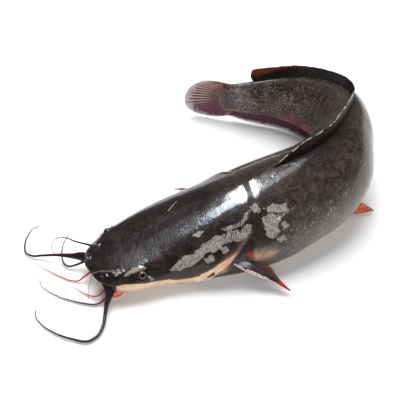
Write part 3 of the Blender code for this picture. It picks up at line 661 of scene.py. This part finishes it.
def fin_shell(name, centre, thickness, look, masks):
    """A closed blade from a grid of centre points [reach, along, 3]: centre + and - half the thickness
    times the unit normal du x dv, the two sides joined round all four edges."""
    normal = np.cross(np.gradient(centre, axis=0), np.gradient(centre, axis=1))
    normal /= np.linalg.norm(normal, axis=-1, keepdims=True) + 1e-12
    half_thick = (np.asarray(thickness) * MM / 2)[..., None] * normal
    front, back = centre + half_thick, centre - half_thick
    rows, columns = centre.shape[:2]
    index = np.arange(rows * columns).reshape(rows, columns)
    sides = []
    for sheet, flip in ((index, False), (index + rows * columns, True)):
        quad = np.stack([sheet[:-1, :-1], sheet[:-1, 1:], sheet[1:, 1:], sheet[1:, :-1]], -1).reshape(-1, 4)
        sides.append(quad[:, ::-1] if flip else quad)
    loop = np.concatenate([index[0, :-1], index[:-1, -1], index[-1, :0:-1], index[:0:-1, 0]])
    following = np.roll(loop, -1)
    other = rows * columns
    sides.append(np.stack([loop, loop + other, following + other, following], -1))
    points = np.concatenate([front.reshape(-1, 3), back.reshape(-1, 3)])
    keep_above(points, FIN_LIFT)
    piece = new_piece(name, points.tolist(), np.concatenate(sides).tolist())
    full = {key: np.broadcast_to(value, (rows, columns)).reshape(-1) for key, value in masks.items()}
    dress(piece, look, {key: np.concatenate([value, value]) for key, value in full.items()})
    return piece


def ray_finish(look, blotch, wave, depth, wet=(0.22, 0.4), grain_scale=900, grain_depth=0.2):
    """Ends a fin's material: grooves between the rays, a fine grain on them, and patchy wetness."""
    raised = look.bump(wave, depth)
    grain = look.bump(look.noise(grain_scale, 2, 0.6), grain_depth, under=raised)
    return look.finish(look.ramp(blotch, 0.3, 0.7, *wet), grain)


def dorsal_material():
    look = Shader("wet_back_fin", 0.12, 0.12)
    reach, wave = look.mask("reach"), look.rays("ray")
    blotch = look.noise(260)
    look.colour = look.tones(blotch, 0.35, 0.65, (17, 13, 11), (30, 23, 20))
    rust = look.math("ADD", look.jitter(reach, blotch, 0.5), look.times("tip", 0.35))
    look.cover(look.times(look.ramp(rust, 0.7, 1.05), "rust"), (98, 50, 34))
    look.cover(look.ramp(wave, 0.0, 1.0, 0.0, 0.2), (14, 11, 10))
    # A painted highlight: a broken pale wet line along the margin of the front part.
    edge = look.times(look.ramp(reach, 0.96, 0.99), "painted_glint")
    look.cover(look.times(edge, look.ramp(blotch, 0.42, 0.56)), (176, 170, 166))
    return ray_finish(look, blotch, look.times(wave, -0.5), 0.06, (0.25, 0.42), 500)


def anal_material():
    look = Shader("wet_belly_fin", 0.6, 0.08)
    wave = look.rays("ray")
    blotch = look.noise(260)
    shifted = look.jitter("reach", blotch, 0.35)
    look.colour = look.tones(shifted, 0.0, 0.5, (70, 44, 46), (84, 46, 56))
    look.cover(look.ramp(shifted, 0.7, 1.0), (206, 196, 198))
    dark = look.mix(0.65, look.colour, (0.006, 0.004, 0.004, 1))
    look.colour = look.mix(look.ramp(wave, -0.2, 0.9, 0.0, 0.25), look.colour, dark)
    look.tree.links.new(look.ramp(shifted, 0.72, 1.0, 1.0, 0.5), look.surface.inputs["Alpha"])
    return ray_finish(look, blotch, look.times(wave, -0.5), 0.6)


def tail_fin_material():
    look = Shader("wet_tail_fin", 0.8, 0.07)
    wave, down = look.rays("ray"), look.mask("down")
    blotch = look.noise(300)
    shifted = look.jitter("reach", blotch, 0.3)
    look.colour = look.tones(down, 0.22, 0.4, (150, 70, 50), (104, 70, 64))
    look.cover(look.ramp(down, 0.5, 0.66), (112, 60, 80))
    look.cover(look.ramp(down, 0.9, 1.0), (206, 104, 124))
    rays = look.times(look.ramp(wave, 0.35, 0.9), look.ramp(shifted, 0.4, 0.65))
    look.cover(look.times(rays, look.ramp(down, 0.12, 0.25), look.ramp(down, 0.62, 0.5)), (206, 184, 168))
    look.cover(look.ramp(wave, -0.1, -0.8, 0.0, 0.5), (62, 36, 38))
    look.cover(look.ramp(shifted, 0.3, 0.16), (48, 36, 36))
    look.cover(look.ramp(shifted, 0.8, 0.98), (190, 180, 184))
    look.tree.links.new(look.ramp(shifted, 0.85, 1.02, 1.0, 0.7), look.surface.inputs["Alpha"])
    return ray_finish(look, blotch, look.times(wave, -0.5), 0.5)


# The back fin stands on the ridge of the back, leans back at its rear end, and has a wavy margin.
reach = np.linspace(0, 1, FIN_ROWS)[:, None]
fin_s = np.linspace(BACK_FIN_START, BACK_FIN_END, BACK_FIN_COLUMNS)
(fin_height,) = columns_at(DORSAL_FIN, fin_s)
root_s = np.interp(fin_s, (BACK_FIN_START, BACK_FIN_END), (BACK_FIN_START, BACK_FIN_END - 1))
lean = fade(fin_s, 366, 385) * 5.5
rounded = np.sin(reach**0.8 * 0.72 * math.pi)
ripple = 0.7 * random_hills(fin_s / 9, fin_s * 0, 11)
edge_wave = reach**3 * 0.25 * random_hills(fin_s / 2.2, fin_s * 0, 12)
blade_z = section_at(root_s)[1] - 2.5 + reach * (fin_height + 2.5) + edge_wave - 0.25
blade = place(root_s + rounded * lean, reach**1.5 * ripple, blade_z)
dorsal = fin_shell("dorsal_fin", blade, 2.0 - 1.3 * reach + 0 * fin_s, dorsal_material(), {
    "reach": reach, "ray": (fin_s - BACK_FIN_START) / 3.2, "rust": fade(fin_s, 325, 365),
    "tip": fade(fin_s, 362, 378), "painted_glint": stretch(fin_s, 165, 169, 267, 292)})

# The fin under the tail is ruled from its root on the belly to its margin, folded under the trunk in front.
fin_s = np.linspace(ANAL_FIN_START, ANAL_FIN_END, ANAL_FIN_COLUMNS)
root_side, root_up, margin_side, margin_up = columns_at(ANAL_FIN, fin_s)
anal_root = place(fin_s, root_side, root_up + 0.6)
anal_margin = place(fin_s, margin_side, margin_up)
keep_above(anal_margin, MARGIN_LIFT)
anal_centre = anal_root * (1 - reach[..., None]) + anal_margin * reach[..., None]
anal = fin_shell("anal_fin", anal_centre, 1.2 - 0.8 * reach + 0 * fin_s, anal_material(),
                 {"reach": reach, "ray": (fin_s - ANAL_FIN_START) / 2.9})

# The tail fin is a fan from the end of the tail to a round margin, in the plane of the backbone's end.
tail_margin = even_path(TAIL_FIN, TAIL_COLUMNS)
tail_root_z = np.linspace(39.5, 11.0, TAIL_COLUMNS)
tail_reach = np.linspace(0, 1, 26)[:, None]
tail_s = 404 + (tail_margin[:, 0] - 404) * tail_reach
tail_z = tail_root_z + (tail_margin[:, 1] - tail_root_z) * tail_reach
tail_hills = random_hills(np.linspace(0, 9, TAIL_COLUMNS) + 0 * tail_reach, tail_reach * 2, 13)
tail_blade = place(tail_s, tail_reach**2 * tail_hills, tail_z)
caudal = fin_shell("tail_fin", tail_blade, 1.9 - 1.4 * tail_reach + 0 * tail_z, tail_fin_material(), {
    "reach": tail_reach, "ray": np.linspace(0, 27, TAIL_COLUMNS), "down": np.linspace(0, 1, TAIL_COLUMNS)})
for fin in (dorsal, anal, caudal):
    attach(fin, "root")


# The paired fins. A stiff toothed spine leads each breast fin, shiny and purple-black with a painted
# highlight along it, and its rays are brown-red with a bright red tip and painted glints near the root. The
# belly fins are small and red-orange.

PECTORAL_LEAD = {
    "left": (
        (108, 38, 20), (112.5, 44.8, 19.2), (122.5, 53, 13.5), (132.5, 60, 9.5), (138, 63.8, 7.3),
        (147, 72.8, 2.6)),
    "right": (
        (106, 36, 20), (103, 46, 17.5), (100, 54, 15), (97.5, 60, 12.5), (95.5, 65, 10)),
}
PECTORAL_REAR = {
    "left": (
        (118, 37, 24), (124.5, 43.8, 20.5), (134, 47.4, 17), (139.5, 51.8, 12.5), (143, 60.3, 6),
        (147.5, 72.5, 2.2)),
    "right": (
        (117, 36, 25), (114, 46, 21), (109, 54, 17), (103, 60, 13), (96.5, 65, 9.5)),
}
PELVIC_LEAD = ((214, 14, 5), (219, 22, 3), (226, 32, 2), (232.5, 41, 1.6))
PELVIC_REAR = ((224, 14, 9), (228, 23, 8.5), (232, 31, 6), (233, 40, 1.8))
PECTORAL_RAYS, PELVIC_RAYS, PECTORAL_SWELL = 9, 6, 2.2


def paired_grid(lead, rear, side, rows, columns):
    """Shares across and out along a fin, 0 to 1, and its centre points, ruled from the leading to the rear
    edge; side is 1 on the left and -1 on the right."""
    edges = []
    for edge in (lead, rear):
        line = even_path(edge, columns)
        points = place(line[:, 0], -side * line[:, 1], line[:, 2])
        keep_above(points, MARGIN_LIFT)
        edges.append(points)
    across, out = np.linspace(0, 1, rows)[:, None], np.linspace(0, 1, columns)
    return across, out, edges[0] * (1 - across[..., None]) + edges[1] * across[..., None]


def pectoral_material():
    look = Shader("wet_breast_fin", 1.0, 0.04)
    across, out = look.mask("across"), look.mask("reach")
    blotch = look.noise(320)
    streaks = look.noise(1.0, 3, 0.6, 0.2, look.place_by(across, 14, out, 3))
    look.colour = look.tones(blotch, 0.35, 0.65, (52, 36, 42), (80, 60, 66))
    rear = look.ramp(look.jitter(across, streaks, 0.6), 0.62, 0.95)
    look.cover(look.times(rear, look.ramp(out, 0.3, 0.5)), (122, 64, 40))
    look.cover(look.ramp(look.jitter(out, blotch, 0.25), 0.74, 0.9), (204, 58, 46))
    look.cover(look.times(look.ramp(across, 0.1, 0.05), look.ramp(out, 0.9, 0.7)), (226, 196, 182))
    # A painted highlight: a broken white line along the spine.
    painted_spine_highlight = look.times(look.ramp(across, 0.09, 0.11), look.ramp(across, 0.17, 0.14))
    painted_spine_highlight = look.times(painted_spine_highlight, look.ramp(out, 0.08, 0.14), look.ramp(out, 0.72, 0.6))
    look.cover(look.times(painted_spine_highlight, look.ramp(blotch, 0.4, 0.48)), (236, 234, 236))
    # Painted glints: bluish-white streaks on the blade near the root.
    painted_root_glints = look.times(look.ramp(across, 0.16, 0.22), look.ramp(across, 0.6, 0.5))
    painted_root_glints = look.times(painted_root_glints, look.ramp(out, 0.04, 0.1), look.ramp(out, 0.4, 0.26))
    look.cover(look.times(painted_root_glints, look.ramp(streaks, 0.48, 0.56, 0.0, 0.95)), (186, 194, 206))
    return ray_finish(look, blotch, look.rays(across, PECTORAL_RAYS), 0.15, (0.18, 0.34), grain_depth=0.1)


def pelvic_material():
    look = Shader("wet_belly_side_fin", 0.7, 0.06)
    wave = look.rays("across", PELVIC_RAYS)
    blotch = look.noise(320)
    look.colour = look.tones(blotch, 0.35, 0.65, (236, 104, 78), (250, 152, 124))
    look.cover(look.ramp("reach", 0.75, 1.0), (232, 150, 138))
    look.cover(look.ramp(wave, 0, 1, 0, 0.4), (140, 40, 36))
    return look.finish(look.ramp(blotch, 0.3, 0.7, 0.2, 0.36), look.bump(wave, 0.3))


breast_look, belly_look = pectoral_material(), pelvic_material()
for side, word in ((1, "left"), (-1, "right")):
    across, out, centre = paired_grid(PECTORAL_LEAD[word], PECTORAL_REAR[word], side, 60, 90)
    centre[..., 2] += PECTORAL_SWELL * MM * np.sin(math.pi * across) * np.sin(math.pi * out**0.7)
    spine = bell(across - 0.07, 0.1) * (2.9 - 2.2 * out)
    ray_waves = np.sin(across * math.tau * PECTORAL_RAYS) * (1 - across)
    thickness = 0.55 + 0.5 * (1 - out) + spine + 0.18 * ray_waves
    fin = fin_shell("breast_fin_" + word, centre, thickness, breast_look, {"across": across, "reach": out})
    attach(fin, "root")
    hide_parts("pectoral_fin_" + word)
    across, out, centre = paired_grid(PELVIC_LEAD, PELVIC_REAR, side, 36, 50)
    thickness = 0.5 + 0.7 * (1 - out) + 0.15 * np.sin(across * math.tau * PELVIC_RAYS)
    fin = fin_shell("belly_fin_" + word, centre, thickness, belly_look, {"across": across, "reach": out})
    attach(fin, "root")
    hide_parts("pelvic_fin_" + word)


# The barbels. Eight soft feelers round the mouth taper to threads and lie where they fell. The upper two
# are drawn out of the lip in a broad dark flap, and the inner ones of the chin are red with blood.

# The colour, the radius at the root and at the tip, and the points of the path.
BARBELS = {
    "maxillary_left": ("dark", 2.6, 1.15, (
        (12, -17, 14), (5, -20, 12.5), (-0.7, -25.4, 9), (-6.9, -33, 5.5), (-14, -41, 3.2),
        (-21.4, -45.6, 2.2), (-29.4, -46.2, 2), (-39.2, -37, 1.8), (-47.5, -24.5, 1.7), (-52, -11.5, 1.5),
        (-52.3, -2.4, 1.4), (-49.7, 4, 1.3))),
    "maxillary_right": ("dark", 2.0, 1.05, (
        (12, 17, 14), (7, 24, 13.5), (1.6, 28.7, 12), (-11.6, 42.5, 7), (-20, 51, 3.6), (-25.5, 55.5, 2.3),
        (-28.5, 61.5, 2), (-25.6, 70.7, 1.7), (-18, 80, 1.5), (-10, 84.6, 1.4), (-5.4, 84.1, 1.3))),
    "nasal_left": ("grey", 0.9, 0.4, (
        (17, -16, 20), (14.5, -15.6, 26.0), (10, -14, 26.6), (4.4, -8, 24.8), (-0.8, -4.4, 21),
        (-3.8, -4.8, 14), (-6.4, -6, 9), (-9.7, -10.6, 1.4))),
    "nasal_right": ("dark", 1.2, 0.6, (
        (15, 18, 23.5), (12.3, 24.5, 21.2), (6, 35.4, 19), (1.9, 48, 15), (-0.8, 53.6, 12), (-5, 56, 8.6),
        (-8.6, 54.4, 5.6), (-9.6, 47.2, 1.8))),
    "mandible_outer_left": ("dusk", 1.4, 0.65, (
        (9, -13, 11), (4, -17.4, 5.6), (-2, -19, 2.4), (-7.5, -18, 1.8), (-13.6, -12.7, 1.5),
        (-20.3, -4.9, 1.3), (-26.5, 3.9, 1.2), (-31.4, 13.7, 1.1), (-34, 23.6, 1), (-32.1, 31.1, 1))),
    "mandible_outer_right": ("dark", 1.4, 0.65, (
        (9, 17, 11), (4.4, 21.5, 8), (-1.6, 24.2, 5.6), (-6.4, 28.4, 2.8), (-7.7, 33.5, 1.8),
        (-6.3, 40.1, 1.4), (-3, 47.1, 1.2), (2.1, 54.3, 1.1), (6.7, 58.3, 1), (12.3, 61.7, 1))),
    "mandible_inner_left": ("red", 1.2, 0.55, (
        (8, -10, 9.5), (2.5, -13.6, 6.4), (-3.7, -12, 2.9), (-7.3, -7, 1.6), (-10.7, 1.2, 1.2),
        (-13.8, 9.9, 1), (-14.7, 12.7, 0.9))),
    "mandible_inner_right": ("red", 1.2, 0.55, (
        (8, 7, 10), (3, 9.3, 7), (-2.2, 10.4, 3.9), (-6.9, 10.9, 1.9), (-11.2, 14.6, 1.4),
        (-15.5, 21.5, 1.2), (-20.2, 30.7, 1.1), (-24.8, 41.7, 1), (-29.8, 55.2, 0.9))),
}
BARBEL_COLOURS = {
    "dark": ((34, 22, 26), (52, 36, 42), (70, 52, 56)),
    "grey": ((44, 34, 34), (104, 94, 92), (150, 138, 132)),
    "dusk": ((150, 74, 58), (74, 44, 50), (70, 48, 56)),
    "red": ((176, 62, 58), (200, 92, 84), (216, 150, 140)),
}


def barbel_material(name, base, middle, tip):
    look = Shader("wet_barbel_" + name, 0.9, 0.05)
    blotch = look.noise(300)
    shifted = look.jitter("reach", blotch, 0.3)
    look.colour = look.tones(shifted, 0.0, 0.35, base, middle)
    look.cover(look.ramp(shifted, 0.55, 1.0), tip)
    return look.finish(look.ramp(blotch, 0.3, 0.7, 0.22, 0.38), look.bump(look.noise(900, 2, 0.6), 0.2))


def tube(name, path, radius, look, sides=20):
    """Rings round a path: centre + radius (cos a n + sin a b), n and b square to the path and carried along
    it without twist."""
    ahead = np.gradient(path, axis=0)
    ahead /= np.linalg.norm(ahead, axis=1, keepdims=True)
    n = np.cross(ahead[0], (0, 0, 1.0))
    spin = np.linspace(0, math.tau, sides, endpoint=False)[:, None]
    rings = []
    for way, here, thick in zip(ahead, path, radius):
        n = n - way * (n @ way)
        n /= np.linalg.norm(n)
        rings.append(here + thick * (np.cos(spin) * n + np.sin(spin) * np.cross(way, n)))
    rings = np.array(rings)
    keep_above(rings, 0)
    piece = ring_mesh(name, rings, (path[0], path[-1] + ahead[-1] * radius[-1] * 0.7))
    dress(piece, look, {"reach": np.repeat(np.linspace(0, 1, len(path))[:, None], sides, 1)}, 2)
    return piece


BARBEL_ROWS = 110
barbel_looks = {name: barbel_material(name, *colours) for name, colours in BARBEL_COLOURS.items()}
for name, (look_name, base, tip, points) in BARBELS.items():
    path = (even_path(points, BARBEL_ROWS) - ORIGIN) * MM
    t = np.linspace(0, 1, BARBEL_ROWS)
    radius = tip + (base - tip) * np.exp(-t * 5.5) * (1 - t) + (base - tip) * 0.1 * (1 - t)
    radius = radius * (1 + 0.05 * random_hills(t * 16, t * 0, 21)) * (1 - 0.62 * fade(t, 0.35, 1))
    keep_above(path, radius * 1.05)
    barbel = tube("feeler_" + name, path, radius * MM, barbel_looks[look_name])
    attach(barbel, "root")
    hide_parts("barbel_" + name)


# The corners of the mouth. The lip runs out into each upper barbel as a dark pointed flap. Under the left
# one the mouth shows pink inside, above a cream lower lip.

# A flap's rows have its two edges and its thickness. A lip's rows have its middle and its radius.
FLAP_LEFT = (
    (5, 1, 15.5, 15, -12, 14.5, 3.0), (1.6, -0.6, 16, 12.5, -16.5, 14.5, 4.0),
    (3.0, -7.5, 13.4, 11.0, -20.0, 12.2, 3.6), (3.0, -13.6, 11.0, 7.4, -22.6, 9.8, 3.4),
    (1.2, -18.6, 8.8, 3.0, -25.2, 7.6, 3.2), (-2.6, -25.4, 6.4, -2.6, -29.6, 5.6, 3.2),
    (-6.0, -31.4, 5.4, -6.9, -34.0, 5.2, 2.9), (-10.4, -36.6, 4.4, -10.9, -37.8, 4.2, 1.6))
FLAP_RIGHT = (
    (11, 17, 16, 9, 14, 9, 3.0), (7.5, 22.5, 16.6, 4.5, 18, 10, 3.6),
    (4.6, 26.8, 15.2, 1.2, 23.4, 10.2, 3.2), (-0.8, 31.4, 12.4, -2.8, 29.6, 9.2, 2.8),
    (-6.4, 36.8, 9.8, -7.4, 36.0, 7.8, 2.3), (-12.2, 43.2, 7.2, -12.5, 42.9, 6.0, 1.6))
LIPS = {
    "lower_lip": ((
        (1.5, -16.5, 5.5, 1.0), (4.5, -21.4, 4.8, 1.3), (8.0, -23.8, 4.8, 1.4), (12.0, -24.8, 5.4, 1.4),
        (16.5, -24.8, 6.8, 1.3), (21.0, -23.6, 8.0, 0.8)), (222, 178, 150), (236, 208, 176)),
    "mouth_inside": ((
        (3.5, -18.5, 7.2, 2.0), (7.5, -21.4, 7.8, 2.4), (11.5, -22.2, 9.0, 2.4), (15.5, -22.4, 10.4, 1.9),
        (18.5, -22.4, 11.2, 0.8)), (206, 92, 88), (232, 142, 130)),
}


def flap_piece(name, rows, look):
    """Ellipses between two edges: centre (a + b) / 2, one half axis (b - a) / 2, the other square to it and
    to the way along, half the given thickness."""
    line = even_path(rows, 60)
    first, second, thick = line[:, :3], line[:, 3:6], line[:, 6]
    centre, wide = (first + second) / 2, (second - first) / 2
    thin = np.cross(np.gradient(centre, axis=0), wide)
    thin *= (thick / 2 / np.linalg.norm(thin, axis=1))[:, None]
    spin = np.linspace(0, math.tau, 40, endpoint=False)[None, :, None]
    rings = (centre[:, None] + np.cos(spin) * wide[:, None] + np.sin(spin) * thin[:, None] - ORIGIN) * MM
    keep_above(rings, 0)
    piece = ring_mesh(name, rings, (rings[0].mean(0), rings[-1].mean(0)))
    dress(piece, look, {"reach": np.repeat(np.linspace(0, 0.2, 60)[:, None], 40, 1)}, 2)
    return piece


def lip_material(name, first, second):
    look = Shader(name, 1.0, 0.06)
    patchy = look.noise(380)
    look.colour = look.tones(patchy, 0.35, 0.65, first, second)
    return look.finish(look.ramp(patchy, 0.3, 0.7, 0.2, 0.35), look.bump(look.noise(900, 2, 0.6), 0.3))


corners = [flap_piece("lip_flap_left", FLAP_LEFT, barbel_looks["dark"]),
           flap_piece("lip_flap_right", FLAP_RIGHT, barbel_looks["dark"])]
for name, (rows, first, second) in LIPS.items():
    line = even_path(rows, 40)
    look = lip_material("wet_" + name, first, second)
    corners.append(tube(name, (line[:, :3] - ORIGIN) * MM, line[:, 3] * MM, look))
for piece in corners:
    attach(piece, "root")


# The surface the fish lies on, the lights and the camera. The table is plain white. The wet skin mirrors
# an oval key lamp on the nape, two strips in a row along the head, a low window and a pale wall, which light
# nothing else. What lights the surfaces is a fill from the front and a large overhead panel.

bpy.ops.mesh.primitive_plane_add(size=8.0)
floor = bpy.context.active_object
floor.name = "table"
floor_look = bpy.data.materials.new("white_table")
floor_look.use_nodes = True
floor_look.node_tree.nodes["Principled BSDF"].inputs["Base Color"].default_value = (0.92, 0.92, 0.92, 1)
floor_look.node_tree.nodes["Principled BSDF"].inputs["Roughness"].default_value = 0.55
floor.data.materials.append(floor_look)

STRIP_AIM = (-0.055, 0.004, 0.058)
MIDDLE = (-0.02, 0.02, 0.05)
WHITE = (1, 1, 1)
# Name, way to the lamp from the point it is aimed at, distance, width and depth, radiance, the way of its
# width, colour, aim, and what it does: it shows as a mirror image or it lights surfaces.
LAMPS = (
    ("key", (-0.088, 0.39, 0.91), 0.4, (0.07, 0.3), 60,
     (0.96, -0.29, 0), WHITE, (-0.044, 0.006, 0.06), "mirror"),
    ("strip_front", (-0.15, 0.29, 0.94), 0.27, (0.1, 0.075), 36,
     (0.95, -0.3, 0), (0.72, 0.84, 1), STRIP_AIM, "mirror"),
    ("strip_back", (0.2, 0.12, 0.97), 0.257, (0.12, 0.06), 8,
     (0.93, -0.37, 0), (0.82, 0.9, 1), STRIP_AIM, "mirror"),
    ("window", (0.02, -0.8, 0.6), 1.2, (0.14, 0.08), 22, (1, 0, 0), WHITE, MIDDLE, "mirror"),
    ("fill", (-0.32, -0.75, 0.6), 1.6, (0.8, 0.6), 7.2, (1, 0, 0), WHITE, MIDDLE, "surface"),
    ("pale_wall", (-0.32, -0.75, 0.6), 1.6, (0.8, 0.6), 1.9, (1, 0, 0), WHITE, MIDDLE, "mirror"),
    ("overhead", (0.28, 0.6, 1), 2.2, (2.1, 2.1), 6.6, (1, 0, 0), WHITE, MIDDLE, "surface"),
)
for name, way, distance, size, radiance, long_way, colour, aim, lights in LAMPS:
    lamp = bpy.data.lights.new(name, "AREA")
    lamp.shape = "ELLIPSE" if name == "key" else "RECTANGLE"
    lamp.size, lamp.size_y = size
    # Its power is radiance times pi times its area.
    lamp.energy = radiance * math.pi * size[0] * size[1] * (math.pi / 4 if name == "key" else 1)
    lamp.color = colour
    light = bpy.data.objects.new(name, lamp)
    bpy.context.scene.collection.objects.link(light)
    z = np.array(way) / np.linalg.norm(way)
    x = np.array(long_way) - z * (z @ np.array(long_way))
    x /= np.linalg.norm(x)
    rows = np.column_stack([x, np.cross(z, x), z, np.array(aim) + z * distance]).tolist()
    light.matrix_world = Matrix([*rows, [0, 0, 0, 1]])
    light.visible_camera = False
    light.visible_glossy = lights == "mirror"
    light.visible_diffuse = lights == "surface"
world = bpy.data.worlds.new("studio")
world.use_nodes = True
world.node_tree.nodes["Background"].inputs["Color"].default_value = (0.95, 0.97, 1.0, 1)
world.node_tree.nodes["Background"].inputs["Strength"].default_value = 0.15
bpy.context.scene.world = world
bpy.context.scene.view_settings.view_transform = "Standard"

camera_data = bpy.data.cameras.new("camera")
camera_data.lens = 80
camera_data.sensor_width = 36
camera_data.clip_start = 0.01
camera_data.clip_end = 50
camera = bpy.data.objects.new("camera", camera_data)
bpy.context.scene.collection.objects.link(camera)
CAMERA_AIM, CAMERA_DISTANCE = (117.28, 17.4, 20.0), 0.765
azimuth, elevation, tilt = np.radians((-34.63, 45.04, 0.39))
level_back = np.array([math.sin(azimuth), -math.cos(azimuth), 0.0])
back = level_back * math.cos(elevation) + np.array([0, 0, math.sin(elevation)])
right = np.array([math.cos(azimuth), math.sin(azimuth), 0.0])
up = np.cross(back, right)
tilted_right = right * math.cos(tilt) + up * math.sin(tilt)
tilted_up = up * math.cos(tilt) - right * math.sin(tilt)
eye_point = (np.array(CAMERA_AIM) - ORIGIN) * MM + back * CAMERA_DISTANCE
axes = np.column_stack([tilted_right, tilted_up, back, eye_point])
camera.matrix_world = Matrix([*axes.tolist(), [0, 0, 0, 1]])
bpy.context.scene.camera = camera
